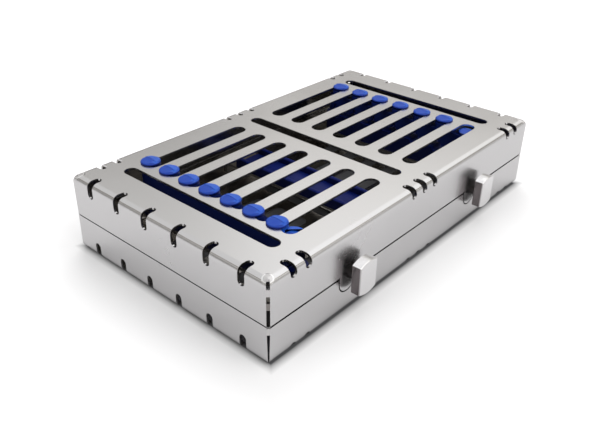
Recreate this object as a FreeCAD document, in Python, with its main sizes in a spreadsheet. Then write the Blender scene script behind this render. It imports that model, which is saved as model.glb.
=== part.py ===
import FreeCAD, Part
import math
import os
import re

# Sterilization container for hand instruments.
# Two folded steel trays, hinged at the back and closed by two quarter turn thumb latches
# at the front, with silicone rails that hold the instruments between the trays.
# The origin is the bottom centre of the closed container, thumb plates and hinges included.
# X runs along the long side, the front wall faces -Y and the hinges are at +Y.

os.makedirs("parts", exist_ok=True)
doc = FreeCAD.newDocument("sterilization_container")

SIZES = {
    "body_length": (200.0, "outside length of both trays"),
    "body_width": (120.0, "outside width of both trays"),
    "base_height": (18.0, "base tray, table to parting line"),
    "lid_height": (20.0, "lid tray, parting line to top"),
    "parting_gap": (0.3, "gap between the two rims"),
    "steel": (1.0, "sheet thickness of both trays"),
    "front_gap": (0.3, "how much lower the front rim of the base is"),
    "base_bend": (3.0, "outside bend radius of the base"),
    "lid_bend": (3.0, "outside bend radius of the lid"),
    "seam": (1.4, "gap of the mitred corner seams"),
    "seam_foot": (0.4, "gap of a base seam where it meets the table"),
    "relief_radius": (2.0, "round relief at each corner of the lid"),
    "relief_inset": (2.6, "relief axis to the two walls"),
    "slot_width": (7.5, "long slots"),
    "slot_pitch": (13.9, "spacing of the long slots"),
    "slot_count": (7, "long slots in each half"),
    "slot_inner": (11.5, "middle of the tray to the inner end of a long slot"),
    "slot_inset": (28.0, "end of the tray to the outer end of a long slot"),
    "cross_width": (6.5, "cross slots"),
    "cross_gap": (13.5, "long side of the tray to the end of a cross slot"),
    "cross_inset": (20.0, "end of the tray to the end cross slots"),
    "notch_width": (3.6, "notches over the bends"),
    "notch_reach": (6.3, "how far a notch runs in over the flat face"),
    "end_notch_depth": (7.6, "how far a notch runs along an end wall"),
    "base_side_notch_depth": (3.1, "how far a notch runs along a long wall of the base"),
    "lid_side_notch_depth": (4.5, "how far a notch runs along a long wall of the lid"),
    "end_notch_pitch": (18.6, "spacing of the notches of an end"),
    "end_notch_count": (6, "notches of an end"),
    "side_notch_pitch": (8.3, "spacing of the notches of a long side"),
    "side_notch_inset": (21.8, "end of the tray to the inner notch of each outer pair"),
    "tongue_width": (20.0, "lid tongue that seats in the base rim"),
    "tongue_drop": (7.6, "how far the tongue hangs below the parting line"),
    "tongue_lobe": (4.7, "radius of the two round lobes of the tongue"),
    "tongue_notch": (5.0, "parting line to the notch between the lobes"),
    "tongue_gap": (0.6, "clearance round the tongue"),
    "recess_mouth": (2.0, "rounded mouth of the recess that takes the tongue"),
    "latch_inset": (51.1, "end of the tray to a latch axis"),
    "latch_drop": (1.0, "latch axis below the parting line"),
    "shank_radius": (2.6, "latch shank in the tongue"),
    "running_gap": (0.05, "radial clearance of shanks and hinge pins"),
    "side_gap": (0.3, "end clearance of turning pieces"),
    "head_width": (11.2, "thumb plate, across"),
    "head_height": (16.0, "thumb plate, along"),
    "head_thickness": (4.2, "thumb plate, out from the wall"),
    "head_standoff": (2.5, "wall to the back of the thumb plate"),
    "head_crown": (11.5, "radius of the crowned ends of the thumb plate"),
    "head_edge": (0.35, "broken front edges of the thumb plate"),
    "collar_radius": (3.8, "collar between wall and thumb plate"),
    "washer_radius": (4.2, "washer behind the tongue"),
    "washer_thickness": (0.4, "washer behind the tongue"),
    "cam_long": (14.0, "double-D cam, diameter"),
    "cam_short": (8.0, "double-D cam, across its flats"),
    "cam_thickness": (1.6, "cam and keyhole plate"),
    "cam_square": (3.4, "square of the shank in the cam"),
    "cam_gap": (0.3, "clearance of the cam in its keyhole"),
    "tip_radius": (1.5, "round end of the shank"),
    "ring_radius": (3.0, "retaining ring"),
    "ring_thickness": (0.7, "retaining ring"),
    "shank_tip": (0.8, "shank past its retaining ring"),
    "keeper_width": (21.0, "keyhole plate"),
    "keeper_foot": (4.6, "table to the foot of the keyhole plate"),
    "foot_height": (2.8, "foot of the keyhole plate, welded to the wall"),
    "keeper_rise": (6.5, "keyhole plate above the parting line"),
    "keeper_corner": (3.0, "rounded shoulders of the keyhole plate"),
    "rail_inset": (31.5, "end of the tray to the middle of the side rails"),
    "rail_width": (10.0, "side rails"),
    "rail_end": (0.5, "flat left on the round ends of the side rails"),
    "rail_gap": (12.0, "long side of the tray to the end of a lid rail"),
    "lid_rail_height": (9.0, "lid rail below its shoulders"),
    "shoulder_height": (2.6, "shoulders between lid and rail"),
    "shoulder_radius": (4.6, "shoulders between lid and rail"),
    "neck_radius": (2.4, "button neck in the lid"),
    "button_radius": (5.35, "button head"),
    "button_height": (2.3, "button head"),
    "button_float": (0.25, "lid face to the button head"),
    "left_button_inset": (15.8, "back of the tray to the first button of the left rail"),
    "left_button_pitch": (13.2, "button spacing of the left rail"),
    "left_button_count": (7, "buttons that stand through the lid"),
    "left_sunk_inset": (16.6, "front of the tray to the button that stays under the lid"),
    "right_button_count": (6, "buttons that stand through the lid"),
    "seat_gap": (0.4, "round seat in the lid about a button neck"),
    "channel_radius": (3.2, "instrument channels in the rails"),
    "channel_slit": (1.2, "slit below each instrument channel"),
    "bridge_height": (12.0, "table to the top of a bridge"),
    "bridge_steel": (1.2, "sheet thickness of the bridges"),
    "bridge_tab": (6.0, "bent down end of a bridge"),
    "bridge_bend": (1.9, "outside bend radius of a bridge"),
    "base_rail_gap": (10.0, "long side of the tray to the end of a base rail"),
    "base_rail_height": (11.0, "side rails of the base"),
    "centre_width": (19.0, "centre pad"),
    "centre_height": (2.2, "centre pad, floor of its trough"),
    "fin_height": (3.4, "fins of the centre pad"),
    "fin_width": (2.4, "fins of the centre pad"),
    "peg_radius": (2.0, "silicone pegs in the bridges"),
    "peg_head_radius": (3.1, "silicone pegs under the bridges"),
    "peg_head_height": (1.4, "silicone pegs under the bridges"),
    "peg_spacing": (38.0, "silicone pegs"),
    "hinge_inset": (42.0, "end of the tray to the middle of a hinge"),
    "hinge_length": (26.0, "hinge along the wall"),
    "knuckle_length": (8.0, "middle knuckle"),
    "knuckle_radius": (2.1, "hinge knuckles"),
    "pin_radius": (1.0, "hinge pins"),
    "pin_head": (0.6, "peened pin ends"),
    "leaf_height": (9.0, "hinge leaf from the hinge axis"),
    "leaf_steel": (1.0, "hinge leaf"),
    "hinge_offset": (0.25, "wall to the knuckles"),
    "bead_height": (3.0, "weld beads of the corner seams"),
    "bead_first": (3.4, "lid top to the first bead"),
    "bead_second": (9.4, "lid top to the second bead"),
    "bead_rim": (0.7, "base rim to its bead"),
    "bead_sink": (0.85, "corner to the outer face of a bead, along the diagonal"),
    "bead_depth": (2.0, "corner to the inner face of a bead, along the diagonal"),
    "puddle_slit": (3.0, "corner to the weld in a relief, along the diagonal"),
}

sheet = doc.addObject("Spreadsheet::Sheet", "sizes")
for row, (alias, (value, note)) in enumerate(SIZES.items(), start=1):
    sheet.set(f"A{row}", alias)
    sheet.set(f"B{row}", str(value))
    sheet.set(f"C{row}", note)
    sheet.setAlias(f"B{row}", alias)
doc.recompute()

AXES = {
    "X": FreeCAD.Rotation(FreeCAD.Vector(0, 1, 0), 90),
    "Y": FreeCAD.Rotation(FreeCAD.Vector(1, 0, 0), -90),
    "Z": FreeCAD.Rotation(),
}
TURNED_OVER = FreeCAD.Placement(FreeCAD.Vector(), FreeCAD.Rotation(FreeCAD.Vector(0, 1, 0), 180))
SIDES = {"left": "-1", "right": "1"}
# The thumb plates stand out further in front than the hinges do behind.
CENTRE_Y = "(head_standoff + head_thickness - hinge_offset - 2 * knuckle_radius) / 2"
# Distances from the middle of the trays, each kept from the nearest wall.
SLOT_END = "(body_length / 2 - slot_inset)"
CROSS_PLACE = "(body_length / 2 - cross_inset)"
CROSS_REACH = "(body_width / 2 - cross_gap)"
NOTCH_PLACE = "(body_length / 2 - side_notch_inset)"
LATCH_PLACE = "(body_length / 2 - latch_inset)"
HINGE_PLACE = "(body_length / 2 - hinge_inset)"
RAIL_PLACE = "(body_length / 2 - rail_inset)"
LID_RAIL_LENGTH = "(body_width - 2 * rail_gap)"
BASE_RAIL_LENGTH = "(body_width - 2 * base_rail_gap)"
nodes = []


def sized(text):
    """Point every plain alias of an expression at the sheet."""
    return re.sub(r"[a-z_]{2,}", lambda word: "sizes." + word.group()
                  if word.group() in SIZES else word.group(), text)


def size(text):
    """The number that an expression in plain aliases stands for."""
    return float(sheet.evalExpression(sized(text).replace("sizes.", "")))


def bind(item, **expressions):
    for name, text in expressions.items():
        item.setExpression(name.replace("__", "."), sized(text))


def put(item, at):
    bind(item, Placement__Base__x=at[0], Placement__Base__y=at[1], Placement__Base__z=at[2])


def box(name, at, span):
    """A box from its lowest corner and its three sizes, all as expressions."""
    item = doc.addObject("Part::Box", name)
    bind(item, Length=span[0], Width=span[1], Height=span[2])
    put(item, at)
    return item


def rod(name, axis, at, radius, length):
    """A cylinder from the centre of its first face, along +X, +Y or +Z."""
    item = doc.addObject("Part::Cylinder", name)
    item.Placement = FreeCAD.Placement(FreeCAD.Vector(), AXES[axis])
    bind(item, Radius=radius, Height=length)
    put(item, at)
    return item


def union(name, shapes):
    item = doc.addObject("Part::MultiFuse", name)
    item.Shapes = shapes
    item.Refine = True
    return item


def cut(name, base, tools):
    item = doc.addObject("Part::Cut", name)
    item.Base = base
    item.Tool = tools[0] if len(tools) == 1 else union(name + "_tools", tools)
    item.Refine = True
    return item


def near(a, b):
    return abs(a - b) < 0.01


def runs_along(edge, axis):
    if edge.Curve.TypeId != "Part::GeomLine":
        return False
    step = edge.Vertexes[-1].Point - edge.Vertexes[0].Point
    return abs(getattr(step, axis)) > 0.999 * step.Length


def chosen_edges(shape, wanted):
    return [number for number, edge in enumerate(shape.Edges, start=1)
            if wanted(edge, edge.CenterOfMass)]


def rounded(name, base, radius, wanted):
    """Round the edges that pass the test."""
    doc.recompute()
    item = doc.addObject("Part::Fillet", name)
    item.Base = base
    item.Edges = [(number, size(radius), size(radius)) for number in chosen_edges(base.Shape, wanted)]
    return item


def broken(name, base, width, wanted):
    """Chamfer the edges that pass the test."""
    doc.recompute()
    item = doc.addObject("Part::Chamfer", name)
    item.Base = base
    item.Edges = [(number, size(width), size(width)) for number in chosen_edges(base.Shape, wanted)]
    return item


def node(item, label, at=("0", "0", "0")):
    """Give a finished piece its name and its place, stated from the middle of the trays."""
    item.Label = label
    put(item, (at[0], f"{at[1]} + {CENTRE_Y}", at[2]))
    nodes.append(item)
    return item


def slot(name, axis, start, end, across, width):
    """Cutter for a round ended slot through the floor, from start to end along an axis."""
    first = f"{start} + {width} / 2"
    last = f"{end} - {width} / 2"
    straight = f"({end}) - ({start}) - {width}"
    deep = "steel + 2"
    if axis == "X":
        return [
            box(name, (first, f"{across} - {width} / 2", "-1"), (straight, width, deep)),
            rod(name + "_near", "Z", (first, across, "-1"), f"{width} / 2", deep),
            rod(name + "_far", "Z", (last, across, "-1"), f"{width} / 2", deep),
        ]
    return [
        box(name, (f"{across} - {width} / 2", first, "-1"), (width, straight, deep)),
        rod(name + "_near", "Z", (across, first, "-1"), f"{width} / 2", deep),
        rod(name + "_far", "Z", (across, last, "-1"), f"{width} / 2", deep),
    ]


def notch(name, wall, side, place, depth):
    """Cutter for a notch over a bend, with a round end on the floor and on the wall."""
    radius = "notch_width / 2"
    deep = "steel + 2"
    run = f"notch_reach - {radius} + 1"
    rise = f"{depth} - {radius} + 1"
    face = "body_length / 2" if wall == "end" else "body_width / 2"
    inner = f"{side} * ({face} - notch_reach + {radius})"
    start = inner if side == "1" else f"-{face} - 1"
    skin = f"{face} - steel - 1" if side == "1" else f"-{face} - 1"
    if wall == "end":
        return [
            box(name, (start, f"{place} - {radius}", "-1"), (run, "notch_width", rise)),
            rod(name + "_floor", "Z", (inner, place, "-1"), radius, deep),
            rod(name + "_wall", "X", (skin, place, f"{depth} - {radius}"), radius, deep),
        ]
    return [
        box(name, (f"{place} - {radius}", start, "-1"), ("notch_width", run, rise)),
        rod(name + "_floor", "Z", (place, inner, "-1"), radius, deep),
        rod(name + "_wall", "Y", (place, skin, f"{depth} - {radius}"), radius, deep),
    ]


def floor_cutters():
    """Slots and end notches of a tray, floor down. Base and lid share one pattern."""
    cutters = []
    rows = int(size("slot_count"))
    for row in range(rows):
        across = f"slot_pitch * {row - (rows - 1) / 2}"
        cutters += slot(f"slot_{row}_right", "X", "slot_inner", SLOT_END, across, "slot_width")
        cutters += slot(f"slot_{row}_left", "X", "-" + SLOT_END, "-slot_inner", across, "slot_width")
    for number, place in enumerate(("-" + CROSS_PLACE, "0", CROSS_PLACE)):
        cutters += slot(f"cross_{number}", "Y", "-" + CROSS_REACH, CROSS_REACH, place, "cross_width")
    ends = int(size("end_notch_count"))
    for side in ("-1", "1"):
        for number in range(ends):
            place = f"end_notch_pitch * {number - (ends - 1) / 2}"
            cutters += notch(f"end_notch_{number}", "end", side, place, "end_notch_depth")
    return union("floor_cutters", cutters)


def side_notches(depth):
    """Notches of the long sides: three in the middle and a pair towards each end."""
    outer = f"({NOTCH_PLACE} + side_notch_pitch)"
    places = ["-side_notch_pitch", "0", "side_notch_pitch",
              NOTCH_PLACE, outer, "-" + NOTCH_PLACE, "-" + outer]
    cutters = []
    for side in ("-1", "1"):
        for number, place in enumerate(places):
            cutters += notch(f"side_notch_{number}", "side", side, place, depth)
    return cutters


def folded_tray(name, height, bend):
    """A tray, floor down, as one pressed body: outer block, rounded bends, even wall."""
    body = doc.addObject("PartDesign::Body", name)
    block = body.newObject("PartDesign::AdditiveBox", name + "_block")
    bind(block, Length="body_length", Width="body_width", Height=height)
    put(block, ("-body_length / 2", "-body_width / 2", "0"))
    doc.recompute()
    bends = body.newObject("PartDesign::Fillet", name + "_bends")
    bends.Base = (block, [f"Edge{number}" for number in
                          chosen_edges(block.Shape, lambda edge, middle: near(middle.z, 0))])
    bind(bends, Radius=bend)
    doc.recompute()
    wall = body.newObject("PartDesign::Thickness", name + "_wall")
    wall.Base = (bends, [f"Face{number}" for number, face in enumerate(bends.Shape.Faces, start=1)
                         if near(face.CenterOfMass.z, size(height))])
    wall.Reversed = True
    bind(wall, Value="steel")
    doc.recompute()
    return body


def seam_wedge(name, x, y, gaps, levels, depths):
    """A slim upright wedge on the diagonal of a tray corner.

    Gaps are its widths at the lower and upper level, depths are along the diagonal.
    """
    up = FreeCAD.Vector(0, 0, 1)
    inward = FreeCAD.Vector(-int(x), -int(y), 0).normalize()
    item = doc.addObject("Part::Wedge", name)
    item.Placement = FreeCAD.Placement(FreeCAD.Vector(),
                                       FreeCAD.Rotation(up.cross(inward), up, inward, "XYZ"))
    bind(item, Xmin=f"-{gaps[0]} / 2", Xmax=f"{gaps[0]} / 2",
         X2min=f"-{gaps[1]} / 2", X2max=f"{gaps[1]} / 2", Ymin=levels[0], Ymax=levels[1],
         Zmin=depths[0], Zmax=depths[1], Z2min=depths[0], Z2max=depths[1])
    put(item, (f"{x} * body_length / 2", f"{y} * body_width / 2", "0"))
    return item


CORNERS = [(x, y) for x in ("-1", "1") for y in ("-1", "1")]
SEAM_DEPTHS = ("-1", "base_bend + lid_bend")
BASE_GAPS = ("seam_foot", "seam")
BASE_LEVELS = ("-1", "base_height + 1")


def lid_corner_cutters(height):
    """Mitred seam and round relief at each corner of the lid, floor down."""
    cutters = []
    for x, y in CORNERS:
        cutters.append(seam_wedge("lid_seam", x, y, ("seam", "seam"), ("-1", f"{height} + 1"),
                                  SEAM_DEPTHS))
        cutters.append(rod("lid_relief", "Z", (f"{x} * (body_length / 2 - relief_inset)",
                                               f"{y} * (body_width / 2 - relief_inset)", "-1"),
                           "relief_radius", "lid_bend + 1"))
    return cutters


def tongue_outline(name, place, gap, y, thickness, root, parting, down):
    """A plate with two round lobes and a notch between them, or the recess that takes it.

    The plate runs from its root past the parting line, towards +Z or -Z as down says.
    """
    half = f"(tongue_width / 2 + {gap})"
    reach = "(tongue_width / 2 - tongue_lobe)"
    level = f"({parting} + {down} * (tongue_drop - tongue_lobe))"
    bridge = f"({parting} + {down} * (tongue_notch + {gap}))"
    shapes = []
    for part, side, start, end in (("_plate", half, root, level), ("_web", reach, level, bridge)):
        low, high = (start, end) if down == "1" else (end, start)
        shapes.append(box(name + part, (f"{place} - {side}", y, low),
                          (f"2 * {side}", thickness, f"{high} - {low}")))
    for side in ("-1", "1"):
        shapes.append(rod(name + "_lobe", "Y", (f"{place} + {side} * {reach}", y, level),
                          f"tongue_lobe + {gap}", thickness))
    return shapes


def recess_mouths(place, rim):
    """Cutters that round off the two upper corners of a recess in the base rim."""
    shapes = []
    for side in ("-1", "1"):
        edge = f"({place} + {side} * (tongue_width / 2 + tongue_gap))"
        start = edge if side == "1" else f"{edge} - recess_mouth"
        block = box("mouth_block", (start, "-body_width / 2 - 1", f"{rim} - recess_mouth"),
                    ("recess_mouth", "steel + 2", "recess_mouth + 1"))
        keep = rod("mouth_round", "Y", (f"{edge} + {side} * recess_mouth", "-body_width / 2 - 2",
                                        f"{rim} - recess_mouth"), "recess_mouth", "steel + 4")
        shapes.append(cut("mouth", block, [keep]))
    return shapes


def base_shell(pattern):
    height = "(base_height - parting_gap / 2)"
    tray = folded_tray("base_tray", height, "base_bend")
    slotted = cut("base_slotted", tray, [pattern])
    tools = side_notches("base_side_notch_depth")
    tools += [seam_wedge("base_seam", x, y, BASE_GAPS, BASE_LEVELS, SEAM_DEPTHS) for x, y in CORNERS]
    rim = f"({height} - front_gap)"
    tools.append(box("front_rim", ("-body_length / 2 - 1", "-body_width / 2 - 1", rim),
                     ("body_length + 2", "steel + 1", "front_gap + 1")))
    for side in SIDES.values():
        place = f"{side} * {LATCH_PLACE}"
        tools += tongue_outline("recess", place, "tongue_gap", "-body_width / 2 - 1", "steel + 2",
                                "(base_height + 1)", "base_height", "-1")
        tools += recess_mouths(place, rim)
    node(cut("base_shell", slotted, tools), "base_shell")


def lid_shell(pattern):
    """The lid is drawn like the base, floor down, and turned over about the Y axis."""
    height = "(lid_height - parting_gap / 2)"
    tray = folded_tray("lid_tray", height, "lid_bend")
    slotted = cut("lid_slotted", tray, [pattern])
    open_tray = cut("lid_open", slotted, lid_corner_cutters(height)
                    + side_notches("lid_side_notch_depth"))
    tongues = []
    holes = []
    for side in SIDES.values():
        place = f"{side} * {LATCH_PLACE}"
        tongues += tongue_outline("tongue", place, "0", "-body_width / 2", "steel",
                                  f"({height} - 1)", "lid_height", "1")
        holes.append(rod("shank_hole", "Y", (place, "-body_width / 2 - 1", "lid_height + latch_drop"),
                         "shank_radius + running_gap", "steel + 2"))
    # Round seats for the buttons of the left rail, whose spacing isn't that of the slots.
    for place in LEFT_BUTTONS:
        holes.append(rod("button_seat", "Z", (RAIL_PLACE, place, "-1"), "neck_radius + seat_gap",
                         "steel + 2"))
    lid = cut("lid_shell", union("lid_with_tongues", [open_tray] + tongues), holes)
    lid.Placement = TURNED_OVER
    node(lid, "lid_shell", ("0", "0", "base_height + lid_height"))


def channel_cutters(name, half, bore, slit):
    """Instrument channels across a rail in line with the long slots, each with a slit."""
    cutters = []
    rows = int(size("slot_count"))
    for row in range(rows):
        across = f"slot_pitch * {row - (rows - 1) / 2}"
        cutters.append(rod(name, "X", (f"-{half} - 1", across, bore), "channel_radius",
                           f"2 * {half} + 2"))
        cutters.append(box(name + "_slit", (f"-{half} - 1", f"{across} - channel_slit / 2", slit),
                           (f"2 * {half} + 2", "channel_slit", "channel_radius + 1")))
    return cutters


def rail_bar(name, length, low, height):
    """A long bar with round ends."""
    bar = box(name, ("-rail_width / 2", f"-{length} / 2", low), ("rail_width", length, height))
    return rounded(name + "_ends", bar, "rail_width / 2 - rail_end",
                   lambda edge, middle: runs_along(edge, "z"))


def lid_rail(side, buttons, sunk):
    """A silicone rail under the lid. Its own zero is the underside of the lid."""
    name = f"lid_rail_{side}"
    low = "-shoulder_height - lid_rail_height"
    shapes = [rail_bar(name + "_bar", LID_RAIL_LENGTH, low, "lid_rail_height")]
    for place in buttons:
        shapes.append(rod(name + "_shoulder", "Z", ("0", place, "-shoulder_height - 1"),
                          "shoulder_radius", "shoulder_height + 1"))
        shapes.append(rod(name + "_neck", "Z", ("0", place, "-1"), "neck_radius",
                          "steel + button_float + 1.5"))
        shapes.append(rod(name + "_button", "Z", ("0", place, "steel + button_float"),
                          "button_radius", "button_height"))
    shapes.append(rod(name + "_sunk_neck", "Z", ("0", sunk, "-shoulder_height - 1"),
                      "neck_radius", "shoulder_height"))
    shapes.append(rod(name + "_sunk_button", "Z", ("0", sunk, "-button_height"),
                      "button_radius", "button_height - button_float"))
    tools = channel_cutters(name + "_channel", "rail_width / 2",
                            f"{low} - channel_radius / 3", low)
    rail = cut(name, union(name + "_whole", shapes), tools)
    node(rail, name, (f"{SIDES[side]} * {RAIL_PLACE}", "0", "base_height + lid_height - steel"))


def pegs(name):
    """Three pegs that pass the bridge and hold a rail from below."""
    shapes = []
    for number in (-1, 0, 1):
        place = f"peg_spacing * {number}"
        shapes.append(rod(name + "_peg", "Z", ("0", place, "-bridge_steel - 0.5"), "peg_radius",
                          "bridge_steel + 1"))
        shapes.append(rod(name + "_peg_head", "Z", ("0", place, "-bridge_steel - peg_head_height"),
                          "peg_head_radius", "peg_head_height"))
    return shapes


def base_rail(side):
    """A silicone instrument rail on its bridge. Its own zero is the top of the bridge."""
    name = f"base_rail_{side}"
    bar = rail_bar(name + "_bar", BASE_RAIL_LENGTH, "0", "base_rail_height")
    tools = channel_cutters(name + "_channel", "rail_width / 2",
                            "base_rail_height + channel_radius / 3",
                            "base_rail_height - channel_radius - 1")
    rail = cut(name, union(name + "_whole", [bar] + pegs(name)), tools)
    node(rail, name, (f"{SIDES[side]} * {RAIL_PLACE}", "0", "bridge_height"))


def centre_rail():
    """The wide centre pad: a shallow trough between two fins."""
    name = "base_rail_centre"
    start = f"-{BASE_RAIL_LENGTH} / 2"
    shapes = [box(name + "_pad", ("-centre_width / 2", start, "0"),
                  ("centre_width", BASE_RAIL_LENGTH, "centre_height"))]
    for low in ("-centre_width / 2", "centre_width / 2 - fin_width"):
        top = "centre_height + fin_height"
        fin = box(name + "_fin", (low, start, "0"), ("fin_width", BASE_RAIL_LENGTH, top))
        level = size(top)
        shapes.append(rounded(name + "_fin_round", fin, "fin_width * 0.4",
                              lambda edge, middle: runs_along(edge, "y") and near(middle.z, level)))
    node(union(name, shapes + pegs(name)), name, ("0", "0", "bridge_height"))


def bridge(side, place, width):
    """A steel bridge between the long walls, its ends bent down and welded to them."""
    name = f"rail_bridge_{side}"
    half = "(body_width / 2 - steel)"
    outer = box(name + "_outer", (f"-{width} / 2", f"-{half}", "-bridge_tab"),
                (width, f"2 * {half}", "bridge_tab"))
    inner = box(name + "_inner", (f"-{width} / 2 - 1", f"-{half} + bridge_steel",
                                  "-bridge_tab - bridge_steel"),
                (f"{width} + 2", f"2 * ({half} - bridge_steel)", "bridge_tab"))
    tops = [size("0 * steel"), size("-bridge_steel")]
    outer = rounded(name + "_outer_bend", outer, "bridge_bend",
                    lambda edge, middle: runs_along(edge, "x") and near(middle.z, tops[0]))
    inner = rounded(name + "_inner_bend", inner, "bridge_bend - bridge_steel",
                    lambda edge, middle: runs_along(edge, "x") and near(middle.z, tops[1]))
    tools = [inner]
    for number in (-1, 0, 1):
        tools.append(rod(name + "_hole", "Z", ("0", f"peg_spacing * {number}", "-bridge_steel - 1"),
                         "peg_radius + 0.1", "bridge_steel + 2"))
    node(cut(name, outer, tools), name, (place, "0", "bridge_height"))


def hinge(side):
    """Two leaves and a pin, drawn about the hinge axis. The walls lie at -Y."""
    at = (f"{SIDES[side]} * {HINGE_PLACE}", "body_width / 2 + knuckle_radius + hinge_offset",
          "base_height")
    wall = "-knuckle_radius - hinge_offset"
    half = "hinge_length / 2"
    free = "(knuckle_radius + side_gap)"
    inner = "(knuckle_length / 2 + side_gap / 2)"
    own = "(knuckle_length / 2 - side_gap / 2)"
    outer_length = f"({half} - {inner})"
    bore = rod("hinge_bore", "X", (f"-{half} - 1", "0", "0"), "pin_radius + running_gap",
               "hinge_length + 2")

    leaf = box("base_leaf", (f"-{half}", wall, "-leaf_height"),
               ("hinge_length", "leaf_steel", "leaf_height"))
    window = box("base_window", (f"-{inner}", f"{wall} - 1", f"-{free}"),
                 (f"2 * {inner}", "leaf_steel + 2", f"{free} + 1"))
    knuckles = [rod("base_knuckle", "X", (start, "0", "0"), "knuckle_radius", outer_length)
                for start in (f"-{half}", inner)]
    whole = union("base_leaf_whole", [cut("base_leaf_open", leaf, [window])] + knuckles)
    node(cut("base_leaf_bored", whole, [bore]), f"hinge_base_leaf_{side}", at)

    leaf = box("lid_leaf", (f"-{half}", wall, "0"), ("hinge_length", "leaf_steel", "leaf_height"))
    windows = [box("lid_window", (start, f"{wall} - 1", "-1"),
                   (f"{half} - {own} + 1", "leaf_steel + 2", f"{free} + 1"))
               for start in (f"-{half} - 1", own)]
    knuckle = rod("lid_knuckle", "X", (f"-{own}", "0", "0"), "knuckle_radius", f"2 * {own}")
    whole = union("lid_leaf_whole", [cut("lid_leaf_open", leaf, windows), knuckle])
    node(cut("lid_leaf_bored", whole, [bore]), f"hinge_lid_leaf_{side}", at)

    pin = rod("pin", "X", (f"-{half}", "0", "0"), "pin_radius", "hinge_length")
    ends = [rod("pin_end", "X", (start, "0", "0"), "pin_radius * 1.5", "pin_head")
            for start in (f"-{half} - pin_head", half)]
    node(union("pin_whole", [pin] + ends), f"hinge_pin_{side}", at)


# Distances along a latch axis from the outer face of the front wall, inward positive.
CAM_START = "(steel + washer_thickness + side_gap)"
CAM_END = f"({CAM_START} + cam_thickness)"
RING_END = f"({CAM_END} + ring_thickness)"


def latch(side):
    """A quarter turn latch, drawn about its axis, thumb plate upright (released)."""
    at = (f"{SIDES[side]} * {LATCH_PLACE}", "-body_width / 2", "base_height - latch_drop")

    # The thumb plate: a slab with crowned ends, its front edges broken.
    face = "(-head_standoff - head_thickness)"
    slab = box("head_slab", ("-head_width / 2", face, "-head_height / 2"),
               ("head_width", "head_thickness", "head_height"))
    crowned = doc.addObject("Part::MultiCommon", "head_crowned")
    reach = "(head_height / 2 - head_crown)"
    arcs = [rod("head_arc", "Y", ("0", f"{face} - 1", f"{sign} * {reach}"), "head_crown",
                "head_thickness + 2") for sign in ("-1", "1")]
    crowned.Shapes = [slab] + arcs
    front = size(face)
    head = broken("head_broken", crowned, "head_edge", lambda edge, middle: near(middle.y, front))
    node(head, f"latch_head_{side}", at)

    square = box("shank_square", ("-cam_square / 2", f"{CAM_START} - 0.2", "-cam_square / 2"),
                 ("cam_square", f"{CAM_END} - {CAM_START} + 0.2", "cam_square"))
    shank = union("shank", [
        rod("collar", "Y", ("0", "-head_standoff", "0"), "collar_radius", "head_standoff"),
        rod("journal", "Y", ("0", "-1", "0"), "shank_radius", f"{CAM_START} + 1"),
        square,
        rod("tip", "Y", ("0", f"{CAM_END} - 0.5", "0"), "tip_radius",
            "ring_thickness + shank_tip + 0.5"),
    ])
    node(shank, f"latch_shank_{side}", at)

    disc = rod("cam_disc", "Y", ("0", CAM_START, "0"), "cam_long / 2", "cam_thickness")
    flats = box("cam_flats", ("-cam_short / 2", CAM_START, "-cam_long"),
                ("cam_short", "cam_thickness", "2 * cam_long"))
    lens = doc.addObject("Part::MultiCommon", "cam_lens")
    lens.Shapes = [disc, flats]
    hole = box("cam_hole", ("-cam_square / 2", f"{CAM_START} - 1", "-cam_square / 2"),
               ("cam_square", "cam_thickness + 2", "cam_square"))
    node(cut("cam", lens, [hole]), f"latch_cam_{side}", at)

    for label, start, thickness, outer, inner in (
            ("washer", "steel", "washer_thickness", "washer_radius", "shank_radius + running_gap"),
            ("ring", CAM_END, "ring_thickness", "ring_radius", "tip_radius")):
        disc = rod(label + "_disc", "Y", ("0", start, "0"), outer, thickness)
        bore = rod(label + "_bore", "Y", ("0", f"{start} - 1", "0"), inner, f"{thickness} + 2")
        node(cut(label, disc, [bore]), f"latch_{label}_{side}", at)

    # The keyhole plate on the base: open to the top by the width of the narrow cam.
    foot = "(keeper_foot - base_height + latch_drop)"
    top = "(keeper_rise + latch_drop)"
    plate = box("keeper_plate", ("-keeper_width / 2", CAM_START, foot),
                ("keeper_width", "cam_thickness", f"{top} - {foot}"))
    level = size(top)
    plate = rounded("keeper_shoulders", plate, "keeper_corner",
                    lambda edge, middle: runs_along(edge, "y") and near(middle.z, level))
    welded = box("keeper_weld_foot", ("-keeper_width / 2", "steel", foot),
                 ("keeper_width", f"{CAM_START} - steel", "foot_height"))
    clear = "(cam_long / 2 + cam_gap)"
    gap = "(cam_short / 2 + cam_gap)"
    keyhole = [
        rod("keyhole", "Y", ("0", f"{CAM_START} - 1", "0"), clear, "cam_thickness + 2"),
        box("keyhole_mouth", (f"-{gap}", f"{CAM_START} - 1", "0"),
            (f"2 * {gap}", "cam_thickness + 2", f"{top} + 1")),
    ]
    node(cut("keeper", union("keeper_whole", [plate, welded]), keyhole),
         f"latch_keeper_{side}", at)


def corner_beads(gaps, levels, lows):
    """Weld beads in the four corner seams, touching the mitred ends of both walls."""
    shapes = []
    for low in lows:
        for x, y in CORNERS:
            wedge = seam_wedge("bead_wedge", x, y, gaps, levels, ("bead_sink", "bead_depth"))
            slab = box("bead_slab", ("-body_length / 2", "-body_width / 2", low),
                       ("body_length", "body_width", "bead_height"))
            bead = doc.addObject("Part::MultiCommon", "bead")
            bead.Shapes = [wedge, slab]
            shapes.append(bead)
    return shapes


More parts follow.
